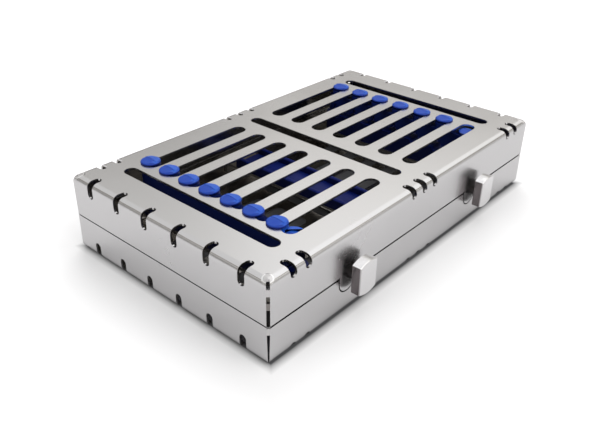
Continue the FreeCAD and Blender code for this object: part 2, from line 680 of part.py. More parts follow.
def relief_puddles():
    """Weld ground flush in the four reliefs of the lid, open at the seam. Drawn floor down."""
    rods = [rod("puddle", "Z", (f"{x} * (body_length / 2 - relief_inset)",
                                f"{y} * (body_width / 2 - relief_inset)", "0"),
                "relief_radius", "lid_bend") for x, y in CORNERS]
    filled = doc.addObject("Part::MultiCommon", "puddles_filled")
    filled.Shapes = [doc.getObject("lid_tray"), union("puddle_rods", rods)]
    slits = [seam_wedge("puddle_slit", x, y, ("seam", "seam"), ("-1", "lid_bend + 1"),
                        ("-1", "puddle_slit")) for x, y in CORNERS]
    puddles = cut("puddles", filled, slits)
    puddles.Placement = TURNED_OVER
    put(puddles, ("0", "0", "base_height + lid_height"))
    return puddles


def welds(label, shapes):
    group = doc.addObject("Part::Compound", label)
    group.Links = shapes
    node(group, label)


def finish():
    """Recompute, test every object and every solid, and write one STEP file a piece."""
    doc.recompute()
    for item in doc.Objects:
        if "Invalid" in item.State or "Error" in item.State:
            raise RuntimeError(f"{item.Name} failed: {item.State}")
    for item in nodes:
        shape = item.Shape
        if shape.isNull() or not shape.isValid():
            raise RuntimeError(f"{item.Label} has no valid shape")
        shape.exportStep(f"parts/{item.Label}.step")
        print(item.Label, len(shape.Solids), round(shape.Volume, 1))


LEFT_BUTTONS = [f"(body_width / 2 - left_button_inset - left_button_pitch * {number})"
                for number in range(int(size("left_button_count")))]
RIGHT_BUTTONS = [f"slot_pitch * {(size('slot_count') - 1) / 2 - number}"
                 for number in range(int(size("right_button_count")))]
pattern = floor_cutters()
base_shell(pattern)
lid_shell(pattern)
lid_rail("left", LEFT_BUTTONS, "(left_sunk_inset - body_width / 2)")
lid_rail("right", RIGHT_BUTTONS, "(-slot_pitch * (slot_count - 1) / 2)")
for side in SIDES:
    base_rail(side)
    bridge(side, f"{SIDES[side]} * {RAIL_PLACE}", "(rail_width + 2)")
    hinge(side)
    latch(side)
centre_rail()
bridge("centre", "0", "centre_width")
welds("base_corner_welds", corner_beads(BASE_GAPS, BASE_LEVELS,
                                        ["base_height - bead_rim - bead_height"]))
welds("lid_corner_welds", corner_beads(("seam", "seam"), ("base_height", "base_height + lid_height"),
                                       ["base_height + lid_height - bead_first - bead_height",
                                        "base_height + lid_height - bead_second - bead_height"])
      + [relief_puddles()])
finish()
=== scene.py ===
import math

import bmesh
import bpy
from bpy.props import FloatProperty, FloatVectorProperty, PointerProperty
from mathutils import Matrix, Vector


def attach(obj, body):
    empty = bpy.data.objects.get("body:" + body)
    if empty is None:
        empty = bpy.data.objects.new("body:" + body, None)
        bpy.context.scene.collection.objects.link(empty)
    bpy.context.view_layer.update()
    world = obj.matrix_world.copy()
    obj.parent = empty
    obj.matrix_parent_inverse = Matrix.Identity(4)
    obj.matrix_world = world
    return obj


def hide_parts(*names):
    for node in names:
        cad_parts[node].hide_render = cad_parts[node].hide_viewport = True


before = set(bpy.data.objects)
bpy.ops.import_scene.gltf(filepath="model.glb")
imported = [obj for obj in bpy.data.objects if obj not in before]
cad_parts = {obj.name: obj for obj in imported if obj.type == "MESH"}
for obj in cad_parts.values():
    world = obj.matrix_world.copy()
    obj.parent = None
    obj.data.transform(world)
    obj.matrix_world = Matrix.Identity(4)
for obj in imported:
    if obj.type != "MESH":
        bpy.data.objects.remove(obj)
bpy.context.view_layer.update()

bl_info = {
    "name": "Sterilization container dressing",
    "version": (1, 0, 0),
    "blender": (4, 5, 0),
    "location": "View3D > Sidebar > Container",
    "description": "Finishes, silicone rails, stage and camera for the sterilization container",
    "category": "Object",
}

SIDES = ("left", "right")

INSIDE_SHADE_MARGIN = 0.8     # of a sheet, that the painted shade inside keeps from the outer faces
TONGUE_DEPTH = 1.5      # sheets on either side of the front wall
SIDE_SHADE = 0.28       # of the silicone's colour, painted as shade on its upright faces
SIDE_TURN = (0.1, 0.75)     # upward part of the normal: fully upright face, fully lit face
CLOUD_TONES = (0.9, 1.1)    # of the silicone's colour, at the ends of its clouds
CLOUD_ENDS = (0.3, 0.7)
CONTACT_FALL = 0.6      # power by which the shade of the floor fades
EVEN_FALL = 1.0
TONE_LOW = 0.97         # of the steel's colour, in its darkest smudges
TONE_SPREAD = 0.06
GRAIN_DEPTH = 0.0001

LEFT_SLOPE = (-0.04, -0.2)  # part of the normal where a shade begins, and where it is full
SIDE_SLOPE = (0.8, 0.3)
TOP_SLOPE = (0.3, 0.6)
FACING_TURN = (0.55, 0.8)

LEVEL_SLACK = 2e-5      # heights that count as one
RING_SLACK = 1e-7       # the same, among the rings of a moulded head
FACE_SLACK = 1e-5       # room about a plain head for the faces it owns
HEAD_GAP = 0.001        # between two heads, at least
FOOT_CHAMFER = 0.0002
ROUND_STEPS = 5
TOP_RINGS = (0.75, 0.5, 0.25)
LINE_SHARE = 0.94       # of the ridge's length
LINE_PROFILE = ((-1.0, -0.3), (-0.45, 0.45), (0.45, 0.45), (1.0, -0.3))

FLOOR_HALF = 8.0
SKY = ((0.0, (0.60, 0.59, 0.58)), (0.22, (0.50, 0.485, 0.465)), (0.34, (0.34, 0.32, 0.295)),
       (0.41, (0.68, 0.655, 0.62)), (0.46, (1.04, 1.02, 0.98)), (0.51, (1.15, 1.14, 1.11)),
       (0.58, (1.07, 1.06, 1.05)), (1.0, (1.25, 1.25, 1.26)))
GLOW = ((0.0, 0.64), (0.44, 0.64), (0.56, 1.0), (1.0, 1.0))
GLOW_SIDE = (0.725, -0.688, 0.0)
LAMPS = (("behind", (0.9, 1.0, 1.15), 1.2, 9.0),    # name, place, size, power
         ("left", (-1.3, 0.3, 0.9), 1.0, 5.0),
         ("front", (0.2, -1.3, 0.9), 1.0, 7.0))

SENSOR_WIDTH = 36.0
FOCAL_LENGTH = 41.427
NEAR_CLIP = 0.01
CAMERA_AZIMUTH = math.radians(-49.147)
CAMERA_HEIGHT = math.radians(30.244)
CAMERA_ROLL = -0.018
CAMERA_OFFSET = Vector((0.011454, 0.001201, 0.353682))  # what it sees: right, down and ahead
CAMERA_SHIFT = Vector((0.0, -0.0015, 0.0))


class ContainerSizes(bpy.types.PropertyGroup):
    """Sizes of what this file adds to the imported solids."""

    edge: FloatProperty(name="Moulded edge", description="Rounding of the silicone edges",
                        default=0.0003, unit="LENGTH")
    latch_edge: FloatProperty(name="Latch edge", description="Rounding of the thumb plates",
                              default=0.00018, unit="LENGTH")
    lid_top: FloatProperty(name="Lid top", description="Table to the top of the lid",
                           default=0.038, unit="LENGTH")
    sheet: FloatProperty(name="Sheet", description="Thickness of the lid",
                         default=0.001, unit="LENGTH")
    button_radius: FloatProperty(name="Button radius", description="Round heads of the rails",
                                 default=0.00535, unit="LENGTH")
    button_height: FloatProperty(name="Button height", description="Thickness of a round head",
                                 default=0.0023, unit="LENGTH")
    button_float: FloatProperty(name="Button float", description="Clearance under a round head",
                                default=0.00025, unit="LENGTH")
    neck_radius: FloatProperty(name="Neck radius", description="Neck that carries a round head",
                               default=0.0024, unit="LENGTH")
    head_radius: FloatProperty(name="Head radius", description="Round head as it is moulded",
                               default=0.0046, unit="LENGTH")
    head_foot: FloatProperty(name="Head foot", description="Lid to the underside of a moulded head",
                             default=0.0001, unit="LENGTH")
    head_rise: FloatProperty(name="Head rise",
                             description="Underside of a moulded head to its ridge",
                             default=0.0021, unit="LENGTH")
    button_round: FloatProperty(name="Button rounding", description="Upper edge of a round head",
                                default=0.0006, unit="LENGTH")
    ridge: FloatProperty(name="Ridge", description="Rise of a button from rim to ridge",
                         default=0.0011, unit="LENGTH")
    bead: FloatProperty(name="Mould line", description="Half width of the line on the ridge",
                        default=0.00022, unit="LENGTH")
    body_length: FloatProperty(name="Body length", description="Outside of the trays, end to end",
                               default=0.200, unit="LENGTH")
    body_width: FloatProperty(name="Body width", description="Outside of the trays, front to back",
                              default=0.120, unit="LENGTH")
    foot_edge: FloatProperty(name="Foot edge", description="Walls to the floor that stays in shade",
                             default=0.0015, unit="LENGTH")
    contact: FloatProperty(name="Contact shade", description="Reach of the shade about the base",
                           default=0.0042, unit="LENGTH")
    mirrored_contact: FloatProperty(name="Mirrored shade",
                                    description="The same shade seen in the steel",
                                    default=0.0045, unit="LENGTH")
    front_edge: FloatProperty(name="Front edge",
                              description="Start of the shade inside the long walls",
                              default=0.0004, unit="LENGTH")
    wide_contact: FloatProperty(name="Wide contact", description="Reach of the faint outer shade",
                                default=0.05, unit="LENGTH")
    horizon: FloatProperty(name="Horizon", description="Reach of the floor's fade into the white",
                           default=2.0, unit="LENGTH")
    bar_place: FloatProperty(name="Bar place",
                             description="Middle of the bars behind the sunk heads",
                             default=0.0122, unit="LENGTH")
    bar_half: FloatProperty(name="Bar half", description="Half the bars behind the sunk heads",
                            default=0.0477, unit="LENGTH")
    sunk_depth: FloatProperty(name="Sunk depth", description="Lid's inside to the rails' blue bars",
                              default=0.0014, unit="LENGTH")
    relief_radius: FloatProperty(name="Relief radius",
                                 description="Round weld at the lid's corners",
                                 default=0.002, unit="LENGTH")
    relief_inset: FloatProperty(name="Relief inset", description="Walls to the middle of a weld",
                                default=0.0026, unit="LENGTH")
    # Width of the painted highlight ring about each corner weld.
    highlight_ring_width: FloatProperty(name="Relief ring", description="Width of the ground ring",
                               default=0.0006, unit="LENGTH")
    bead_split: FloatProperty(name="Bead split", description="Table to between the lid's beads",
                              default=0.030, unit="LENGTH")
    latch_place: FloatProperty(name="Latch place", description="Middle of the trays to a latch",
                               default=0.0489, unit="LENGTH")
    tongue_half: FloatProperty(name="Tongue half", description="Half the width of a tongue",
                               default=0.0099, unit="LENGTH")
    joint_low: FloatProperty(name="Joint low", description="Table to the foot of the parting line",
                             default=0.01792, unit="LENGTH")
    joint_high: FloatProperty(name="Joint high", description="Table to the top of the parting line",
                              default=0.01845, unit="LENGTH")
    body_shift: FloatProperty(name="Body shift", description="Frame's origin to the trays' middle",
                              default=0.001125, unit="LENGTH")


class ContainerColours(bpy.types.PropertyGroup):
    """Colours of the finishes, and of the painted shade and highlights."""

    tray: FloatVectorProperty(name="Tray steel", description="Satin sheet steel",
                              default=(0.765, 0.76, 0.765), subtype="COLOR", size=3)
    # Painted shade: the bridges and keepers inside the trays are darker in colour than the trays'
    # steel.
    inner: FloatVectorProperty(name="Bridge steel", description="Steel inside the trays",
                               default=(0.42, 0.40, 0.375), subtype="COLOR", size=3)
    # Painted shade: the inside of both trays is darker in colour, where little light reaches.
    inside: FloatVectorProperty(name="Tray inside", description="Unpolished inside of both trays",
                                default=(0.38, 0.36, 0.335), subtype="COLOR", size=3)
    # Painted highlight: a bright ring about each corner weld of the lid.
    ring: FloatVectorProperty(name="Ring", description="Ground ring about the corner welds",
                              default=(1.0, 1.0, 1.0), subtype="COLOR", size=3)
    low_bead: FloatVectorProperty(name="Low beads", description="Lower beads of the lid",
                                  default=(0.30, 0.28, 0.27), subtype="COLOR", size=3)
    # Painted shade in the gap at the parting line, on the rims that meet there.
    joint_shade: FloatVectorProperty(name="Joint", description="Rims that meet at the parting line",
                               default=(0.03, 0.03, 0.03), subtype="COLOR", size=3)
    hinge: FloatVectorProperty(name="Hinge steel", description="Leaves of the hinges",
                               default=(0.62, 0.61, 0.60), subtype="COLOR", size=3)
    latch: FloatVectorProperty(name="Latch steel", description="Cast thumb plates",
                               default=(0.96, 0.955, 0.96), subtype="COLOR", size=3)
    # Darker in colour than the fronts of the thumb plates.
    latch_side: FloatVectorProperty(name="Latch sides", description="Casting skin beside the faces",
                                    default=(0.25, 0.225, 0.23), subtype="COLOR", size=3)
    # Painted shade: the backs and shanks of the thumb plates, which face the wall, are near black;
    # the same colour paints a dark reflection of the tops in the walls.
    latch_shade: FloatVectorProperty(name="Latch backs", description="Skin of the backs and shanks",
                                    default=(0.05, 0.045, 0.045), subtype="COLOR", size=3)
    bright: FloatVectorProperty(name="Bright steel", description="Pins, rings and washers",
                                default=(0.74, 0.74, 0.75), subtype="COLOR", size=3)
    weld: FloatVectorProperty(name="Weld", description="Beads in the corner seams",
                              default=(0.74, 0.73, 0.73), subtype="COLOR", size=3)
    silicone: FloatVectorProperty(name="Silicone", description="Blue moulded rails",
                                  default=(0.008, 0.085, 0.50), subtype="COLOR", size=3)
    # Painted shade: the rails in the base, deep inside the trays, are darker in colour.
    silicone_base_shade: FloatVectorProperty(name="Base silicone", description="Blue rails in the base",
                                       default=(0.003, 0.017, 0.215), subtype="COLOR", size=3)
    # Painted shade on the left slopes of the heads.
    silicone_left_shade: FloatVectorProperty(name="Left slopes", description="Left slopes of the heads",
                                       default=(0.003, 0.050, 0.38), subtype="COLOR", size=3)
    # Painted shade on the upright sides of the heads.
    silicone_side_shade: FloatVectorProperty(name="Head sides", description="Upright sides of the heads",
                                       default=(0.002, 0.022, 0.24), subtype="COLOR", size=3)
    # Painted shade on the rails below the lid and behind the sunk heads.
    silicone_deep_shade: FloatVectorProperty(name="Deep silicone", description="Rails below the lid",
                                       default=(0.002, 0.010, 0.10), subtype="COLOR", size=3)
    floor: FloatVectorProperty(name="Floor", description="Pale studio floor",
                               default=(0.90, 0.90, 0.905), subtype="COLOR", size=3)
    floor_seen: FloatVectorProperty(name="Floor in steel",
                                    description="Floor as the steel mirrors it",
                                    default=(0.63, 0.625, 0.63), subtype="COLOR", size=3)
    floor_lift: FloatVectorProperty(name="Floor lift",
                                    description="Light the camera sees in the floor",
                                    default=(0.11, 0.11, 0.11), subtype="COLOR", size=3)
    floor_shade: FloatVectorProperty(name="Floor shade", description="Floor that touches the base",
                                     default=(0.12, 0.12, 0.125), subtype="COLOR", size=3)


def new_material(name):
    """A material with its node tree and its shader."""
    material = bpy.data.materials.new(name)
    material.use_nodes = True
    shader = material.node_tree.nodes["Principled BSDF"]
    return material, material.node_tree, shader


def new_group(name, inputs, outputs):
    """A node group with its sockets; inputs are (name, type, default), outputs (name, type)."""
    group = bpy.data.node_groups.new(name, "ShaderNodeTree")
    for label, kind, default in inputs:
        socket = group.interface.new_socket(label, in_out="INPUT", socket_type=kind)
        socket.default_value = default
    for label, kind in outputs:
        group.interface.new_socket(label, in_out="OUTPUT", socket_type=kind)
    start = group.nodes.new("NodeGroupInput")
    end = group.nodes.new("NodeGroupOutput")
    return group, start, end


def add_node(tree, kind, values=None, **settings):
    """A node with its settings, and values for some of its inputs."""
    node = tree.nodes.new(kind)
    for key, value in settings.items():
        setattr(node, key, value)
    for key, value in (values or {}).items():
        node.inputs[key].default_value = value
    return node


def feed(tree, socket, value):
    """Link an input to another node's output, or give it a number or a colour."""
    if isinstance(value, bpy.types.NodeSocket):
        tree.links.new(value, socket)
    elif isinstance(value, (int, float)):
        socket.default_value = value
    else:
        socket.default_value = (*value, 1.0)


def math_node(tree, operation, *values, clamp=False):
    """Result of an operation on numbers or outputs."""
    node = add_node(tree, "ShaderNodeMath", operation=operation, use_clamp=clamp)
    for number, value in enumerate(values):
        feed(tree, node.inputs[number], value)
    return node.outputs[0]


def mix_colours(tree, factor, first, second, blend="MIX"):
    """Result of a mix of two colours or outputs."""
    node = add_node(tree, "ShaderNodeMix", data_type="RGBA", blend_type=blend)
    for label, value in (("Factor", factor), ("A", first), ("B", second)):
        feed(tree, node.inputs[label], value)
    return node.outputs["Result"]


def split_coords(tree, kind="Object"):
    """The three parts of a point's place or of its normal."""
    coords = add_node(tree, "ShaderNodeTexCoord")
    parts = add_node(tree, "ShaderNodeSeparateXYZ")
    tree.links.new(coords.outputs[kind], parts.inputs[0])
    return parts.outputs


def ramped(tree, value, ends):
    """A number turned into 0 to 1 between two ends."""
    node = add_node(tree, "ShaderNodeMapRange", {"From Min": ends[0], "From Max": ends[1]})
    tree.links.new(value, node.inputs["Value"])
    return node.outputs["Result"]


def fill_ramp(ramp, stops):
    """Set the stops of a colour ramp; a stop is a place with a colour or a grey."""
    marks = ramp.color_ramp.elements
    while len(marks) < len(stops):
        marks.new(0.5)
    for mark, (place, colour) in zip(marks, stops):
        mark.position = place
        mark.color = (*colour, 1.0) if isinstance(colour, tuple) else (colour, colour, colour, 1.0)


def mask_group(name, make):
    """A node group with one mask, made once; make gets the group and returns the mask."""
    if name in bpy.data.node_groups:
        return bpy.data.node_groups[name]
    group, _, end = new_group(name, [], [("Mask", "NodeSocketFloat")])
    group.links.new(make(group), end.inputs["Mask"])
    return group


def grain_group():
    """Fine blasted grain with faint handling smudges, for satin steel."""
    if "satin_grain" in bpy.data.node_groups:
        return bpy.data.node_groups["satin_grain"]
    group, start, end = new_group(
        "satin_grain",
        [("Grain Scale", "NodeSocketFloat", 2600.0), ("Smudge Scale", "NodeSocketFloat", 28.0),
         ("Base Roughness", "NodeSocketFloat", 0.34), ("Spread", "NodeSocketFloat", 0.05)],
        [("Roughness", "NodeSocketFloat"), ("Height", "NodeSocketFloat"),
         ("Tone", "NodeSocketFloat")])
    coords = add_node(group, "ShaderNodeTexCoord")
    fine = add_node(group, "ShaderNodeTexNoise", {"Detail": 2.0})
    wide = add_node(group, "ShaderNodeTexNoise", {"Detail": 4.0, "Roughness": 0.6})
    links = group.links
    links.new(coords.outputs["Object"], fine.inputs["Vector"])
    links.new(coords.outputs["Object"], wide.inputs["Vector"])
    links.new(start.outputs["Grain Scale"], fine.inputs["Scale"])
    links.new(start.outputs["Smudge Scale"], wide.inputs["Scale"])
    swing = math_node(group, "SUBTRACT", wide.outputs["Fac"], 0.5)
    swing = math_node(group, "MULTIPLY", swing, start.outputs["Spread"])
    swing = math_node(group, "MULTIPLY", swing, 2.0)
    rough = math_node(group, "ADD", swing, start.outputs["Base Roughness"], clamp=True)
    links.new(rough, end.inputs["Roughness"])
    links.new(fine.outputs["Fac"], end.inputs["Height"])
    tone = math_node(group, "MULTIPLY", wide.outputs["Fac"], TONE_SPREAD)
    links.new(math_node(group, "ADD", tone, TONE_LOW), end.inputs["Tone"])
    return group


def box_group(name, ranges):
    """Mask of a box given by axis, middle and half length; |X| counts both sides of the middle."""
    def make(group):
        places = split_coords(group)
        mask = 1.0
        for axis, middle, half in ranges:
            place = places[axis.strip("|")]
            if axis.startswith("|"):
                place = math_node(group, "ABSOLUTE", place)
            away = math_node(group, "SUBTRACT", place, middle)
            away = math_node(group, "ABSOLUTE", away)
            mask = math_node(group, "MULTIPLY", math_node(group, "LESS_THAN", away, half), mask)
        return mask
    return mask_group(name, make)


def slope_group(name, axis, ends):
    """Mask that grows as the faces turn, between two ends of a part of their normal."""
    return mask_group(name, lambda group: ramped(group, split_coords(group, "Normal")[axis], ends))


def span(low, high):
    """Middle and half length of what lies between two levels."""
    return (low + high) / 2, (high - low) / 2


def walls(sizes):
    """Axis, middle and half length of the trays, for both pairs of walls."""
    return (("X", 0.0, sizes.body_length / 2), ("Y", sizes.body_shift, sizes.body_width / 2))


def inside_shade_group(sizes):
    """What lies inside the closed trays, where shade is painted into the steel's colour."""
    margin = sizes.sheet * INSIDE_SHADE_MARGIN
    ranges = (*walls(sizes), ("Z", *span(0.0, sizes.lid_top)))
    return box_group("inside_shade_mask", [(axis, middle, half - margin)
                                     for axis, middle, half in ranges])


def joint_shade_group(sizes):
    """The rims that meet at the parting line, where the shade in the gap is painted dark."""
    return box_group("joint_shade_mask", (("Z", *span(sizes.joint_low, sizes.joint_high)),))


def depth_shade_group(sizes):
    """What lies under the lid, below the heads that stay sunk in it, where shade is painted dark.
    """
    top = sizes.lid_top - sizes.sheet - sizes.sunk_depth
    return box_group("depth_shade_mask", (("Z", *span(0.0, top)),))


def bar_shade_group(sizes):
    """The bars and necks of the lid's rails behind the sunk heads, up to the other heads, where
    shade is painted dark.
    """
    top = sizes.lid_top + sizes.head_foot / 2
    return box_group("bar_shade_mask", (("Y", sizes.bar_place, sizes.bar_half), ("Z", *span(0.0, top))))


def low_bead_group(sizes):
    """The darker lower beads of the lid, between the parting line and the upper beads."""
    return box_group("low_bead_mask", (("Z", *span(sizes.joint_high, sizes.bead_split)),))


def tongue_group(sizes):
    """The tongues of the lid where they cross the parting line; no rims meet there, so the painted
    shade leaves them.
    """
    front = sizes.body_shift - sizes.body_width / 2
    return box_group("tongue_mask", (("|X|", sizes.latch_place, sizes.tongue_half),
                                     ("Y", front, sizes.sheet * TONGUE_DEPTH),
                                     ("Z", *span(sizes.joint_low, sizes.joint_high))))


def ring_highlight_group(sizes):
    """A ring about the weld at each corner of the lid, where a highlight is painted bright."""
    def make(group):
        places = split_coords(group)
        squares = []
        for axis, middle, half in walls(sizes):
            away = math_node(group, "SUBTRACT", places[axis], middle)
            away = math_node(group, "ABSOLUTE", away)
            away = math_node(group, "SUBTRACT", away, half - sizes.relief_inset)
            squares.append(math_node(group, "MULTIPLY", away, away))
        reach = math_node(group, "SQRT", math_node(group, "ADD", *squares))
        off = math_node(group, "ABSOLUTE",
                        math_node(group, "SUBTRACT", reach, sizes.relief_radius))
        mask = math_node(group, "LESS_THAN", off, sizes.highlight_ring_width / 2)
        high = math_node(group, "GREATER_THAN", places["Z"], sizes.lid_top / 2)
        return math_node(group, "MULTIPLY", mask, high)
    return mask_group("painted_ring_highlight", make)


def away_group(sizes):
    """How far a point of the floor lies outside the walls of the trays, over a reach."""
    if "away_from_walls" in bpy.data.node_groups:
        return bpy.data.node_groups["away_from_walls"]
    group, start, end = new_group("away_from_walls",
                                  [("Reach", "NodeSocketFloat", 0.006),
                                   ("Fall", "NodeSocketFloat", CONTACT_FALL)],
                                  [("Share", "NodeSocketFloat")])
    places = split_coords(group)
    gaps = []
    for (axis, middle, half), edge in zip(walls(sizes), (sizes.foot_edge, sizes.front_edge)):
        gap = math_node(group, "SUBTRACT", places[axis], middle)
        gap = math_node(group, "ABSOLUTE", gap)
        gaps.append(math_node(group, "SUBTRACT", gap, half - edge))
    gap = math_node(group, "MAXIMUM", *gaps)
    share = math_node(group, "DIVIDE", gap, start.outputs["Reach"], clamp=True)
    share = math_node(group, "POWER", share, start.outputs["Fall"])
    group.links.new(share, end.inputs["Share"])
    return group


def floor_material(colours, sizes):
    """Pale floor, shaded where the trays stand, with light that only the camera sees."""
    material, tree, shader = new_material("floor")
    shader.inputs["Roughness"].default_value = 0.9
    shader.inputs["Specular IOR Level"].default_value = 0.05
    direct = add_node(tree, "ShaderNodeLightPath").outputs["Is Camera Ray"]

    def away(reach, fall=CONTACT_FALL):
        node = add_node(tree, "ShaderNodeGroup", {"Reach": reach, "Fall": fall},
                        node_tree=away_group(sizes))
        return node.outputs["Share"]

    mirrored = mix_colours(tree, away(sizes.mirrored_contact), colours.floor_shade,
                           colours.floor_seen)
    plain = mix_colours(tree, away(sizes.contact), colours.floor_shade, colours.floor)
    tree.links.new(mix_colours(tree, direct, mirrored, plain), shader.inputs["Base Color"])
    seen = math_node(tree, "MULTIPLY", direct, away(sizes.wide_contact, EVEN_FALL))
    lift = mix_colours(tree, seen, (0.0, 0.0, 0.0), colours.floor_lift)
    seen = math_node(tree, "MULTIPLY", direct, away(sizes.horizon, EVEN_FALL))
    fade = mix_colours(tree, seen, lift, (1.0, 1.0, 1.0))
    tree.links.new(fade, shader.inputs["Emission Color"])
    shader.inputs["Emission Strength"].default_value = 1.0
    return material


def shaded(tree, result, shades):
    """A colour changed in turn where each mask holds; a shade is a mask group and its colour."""
    for group, shade in shades:
        mask = add_node(tree, "ShaderNodeGroup", node_tree=group)
        result = mix_colours(tree, mask.outputs["Mask"], result, shade)
    return result


def steel_material(name, colour, roughness, grain=2600.0, bump=0.12, spread=0.05, shades=()):
    """Satin steel with a fine grain."""
    material, tree, shader = new_material(name)
    shader.inputs["Metallic"].default_value = 1.0
    group = add_node(tree, "ShaderNodeGroup", {"Grain Scale": grain, "Base Roughness": roughness,
                                               "Spread": spread}, node_tree=grain_group())
    tree.links.new(group.outputs["Roughness"], shader.inputs["Roughness"])
    toned = mix_colours(tree, 1.0, colour, group.outputs["Tone"], "MULTIPLY")
    tree.links.new(shaded(tree, toned, shades), shader.inputs["Base Color"])
    bump_node = add_node(tree, "ShaderNodeBump", {"Strength": bump, "Distance": GRAIN_DEPTH})
    tree.links.new(group.outputs["Height"], bump_node.inputs["Height"])
    tree.links.new(bump_node.outputs["Normal"], shader.inputs["Normal"])
    return material


def silicone_material(name, colour, shades=()):
    """Matt moulded silicone, with painted shade on its upright faces."""
    material, tree, shader = new_material(name)
    coords = add_node(tree, "ShaderNodeTexCoord")
    cloud = add_node(tree, "ShaderNodeTexNoise", {"Scale": 140.0, "Detail": 3.0})
    fine = add_node(tree, "ShaderNodeTexNoise", {"Scale": 3200.0, "Detail": 1.0})
    for node in (cloud, fine):
        tree.links.new(coords.outputs["Object"], node.inputs["Vector"])
    ramp = add_node(tree, "ShaderNodeValToRGB")
    fill_ramp(ramp, [(place, tuple(min(1.0, value * tone) for value in colour))
                     for place, tone in zip(CLOUD_ENDS, CLOUD_TONES)])
    tree.links.new(cloud.outputs["Fac"], ramp.inputs["Fac"])
    # Painted shade: the upright faces take a darker share of the colour.
    upward = ramped(tree, split_coords(tree, "Normal")["Z"], SIDE_TURN)
    sides = mix_colours(tree, upward, [value * SIDE_SHADE for value in colour],
                        ramp.outputs["Color"])
    tree.links.new(shaded(tree, sides, shades), shader.inputs["Base Color"])
    shader.inputs["Roughness"].default_value = 0.42
    shader.inputs["Specular IOR Level"].default_value = 0.4
    shader.inputs["Subsurface Weight"].default_value = 0.12
    shader.inputs["Subsurface Radius"].default_value = (0.1, 0.2, 1.0)
    shader.inputs["Subsurface Scale"].default_value = 0.002
    bump = add_node(tree, "ShaderNodeBump", {"Strength": 0.06, "Distance": GRAIN_DEPTH})
    tree.links.new(fine.outputs["Fac"], bump.inputs["Height"])
    tree.links.new(bump.outputs["Normal"], shader.inputs["Normal"])
    return material


def dress(nodes, material):
    """Put a finish on CAD nodes."""
    for name in nodes:
        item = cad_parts[name]
        item.data.materials.clear()
        item.data.materials.append(material)


def finish_piece(item, body, material, node=None):
    """Finish and ride of a piece made here; the CAD node it stands for is hidden."""
    item.data.materials.clear()
    item.data.materials.append(material)
    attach(item, body)
    if node:
        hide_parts(node)
    return item


class CONTAINER_OT_steel(bpy.types.Operator):
    """Satin finish of both trays, their bridges and welds, with painted shade and highlights"""

    bl_idname = "container.steel"
    bl_label = "Steel trays"

    def execute(self, context):
        colours = context.scene.container_colours
        sizes = context.scene.container_sizes
        # Painted shade inside the trays and in the gap at the parting line, left off the tongues,
        # and a painted highlight ring about each corner weld.
        shades = ((inside_shade_group(sizes), colours.inside), (joint_shade_group(sizes), colours.joint_shade),
                  (tongue_group(sizes), colours.tray), (ring_highlight_group(sizes), colours.ring))
        dress(["base_shell", "lid_shell"],
              steel_material("tray_steel", colours.tray, 0.255, bump=0.06, shades=shades))
        # Painted shade on the bridges and keepers inside the trays.
        inner = steel_material("bridge_steel", colours.inner, 0.38)
        dress([f"rail_bridge_{name}" for name in (*SIDES, "centre")], inner)
        dress([f"latch_keeper_{name}" for name in SIDES], inner)
        # The welds get the painted highlight ring as well.
        weld = steel_material("weld_steel", colours.weld, 0.42, grain=900.0, bump=0.4, spread=0.2,
                              shades=((ring_highlight_group(sizes), colours.ring),
                                      (low_bead_group(sizes), colours.low_bead)))
        dress(["base_corner_welds", "lid_corner_welds"], weld)
        return {"FINISHED"}


def add_copy(node, suffix):
    """A piece that starts as a copy of a CAD node's mesh."""
    item = bpy.data.objects.new(node + suffix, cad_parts[node].data.copy())
    bpy.context.scene.collection.objects.link(item)
    return item


def recolour(material, factor, colour):
    """Mix another colour over the one a material has; factor gets the tree and returns it."""
    tree = material.node_tree
    socket = tree.nodes["Principled BSDF"].inputs["Base Color"]
    plain = socket.links[0].from_socket
    tree.links.new(mix_colours(tree, factor(tree), plain, colour), socket)


def darken_facing(material, axis, direction, colour):
    """Darken the faces of a thumb plate that look along an axis."""
    def factor(tree):
        facing = math_node(tree, direction, split_coords(tree, "Normal")[axis], 1.0)
        return ramped(tree, facing, FACING_TURN)
    recolour(material, factor, colour)


def dim_mirrored_tops(material, colour):
    """Show the tops of the thumb plates dark in the walls' mirror picture of them."""
    def factor(tree):
        tops = add_node(tree, "ShaderNodeGroup", node_tree=slope_group("top_slope", "Z", TOP_SLOPE))
        path = add_node(tree, "ShaderNodeLightPath")
        mirrored = math_node(tree, "SUBTRACT", 1.0, path.outputs["Is Camera Ray"])
        return math_node(tree, "MULTIPLY", tops.outputs["Mask"], mirrored)
    recolour(material, factor, colour)


def soften(item, width, segments, angle=40.0):
    """Round the edges of a piece that turn by more than an angle."""
    bevel = item.modifiers.new("soft_edge", "BEVEL")
    bevel.width = width
    bevel.segments = segments
    bevel.limit_method = "ANGLE"
    bevel.angle_limit = math.radians(angle)
    bevel.harden_normals = True


def heads_of(mesh, low, top):
    """Middles of the round heads whose upper faces lie at a level, set down to their feet."""
    places = [vertex.co for vertex in mesh.vertices if abs(vertex.co.z - top) < LEVEL_SLACK]
    groups = []
    for y in sorted({round(place.y, 5) for place in places}):
        if not groups or y - groups[-1][-1] > HEAD_GAP:
            groups.append([])
        groups[-1].append(y)
    across = [place.x for place in places]
    middle_x = (min(across) + max(across)) / 2
    return [Vector((middle_x, (group[0] + group[-1]) / 2, low)) for group in groups]


def head_profile(sizes, height):
    """Reach and level of the rings of a head, from its neck to the top."""
    radius = sizes.head_radius
    rounding = sizes.button_round
    profile = [(sizes.neck_radius, 0.0), (radius - FOOT_CHAMFER, 0.0), (radius, FOOT_CHAMFER),
               (radius, height - rounding)]
    for step in range(1, ROUND_STEPS + 1):
        turn = math.radians(90 * step / ROUND_STEPS)
        profile.append((radius - rounding + rounding * math.cos(turn),
                        height - rounding + rounding * math.sin(turn)))
    return profile + [((radius - rounding) * share, height) for share in TOP_RINGS]


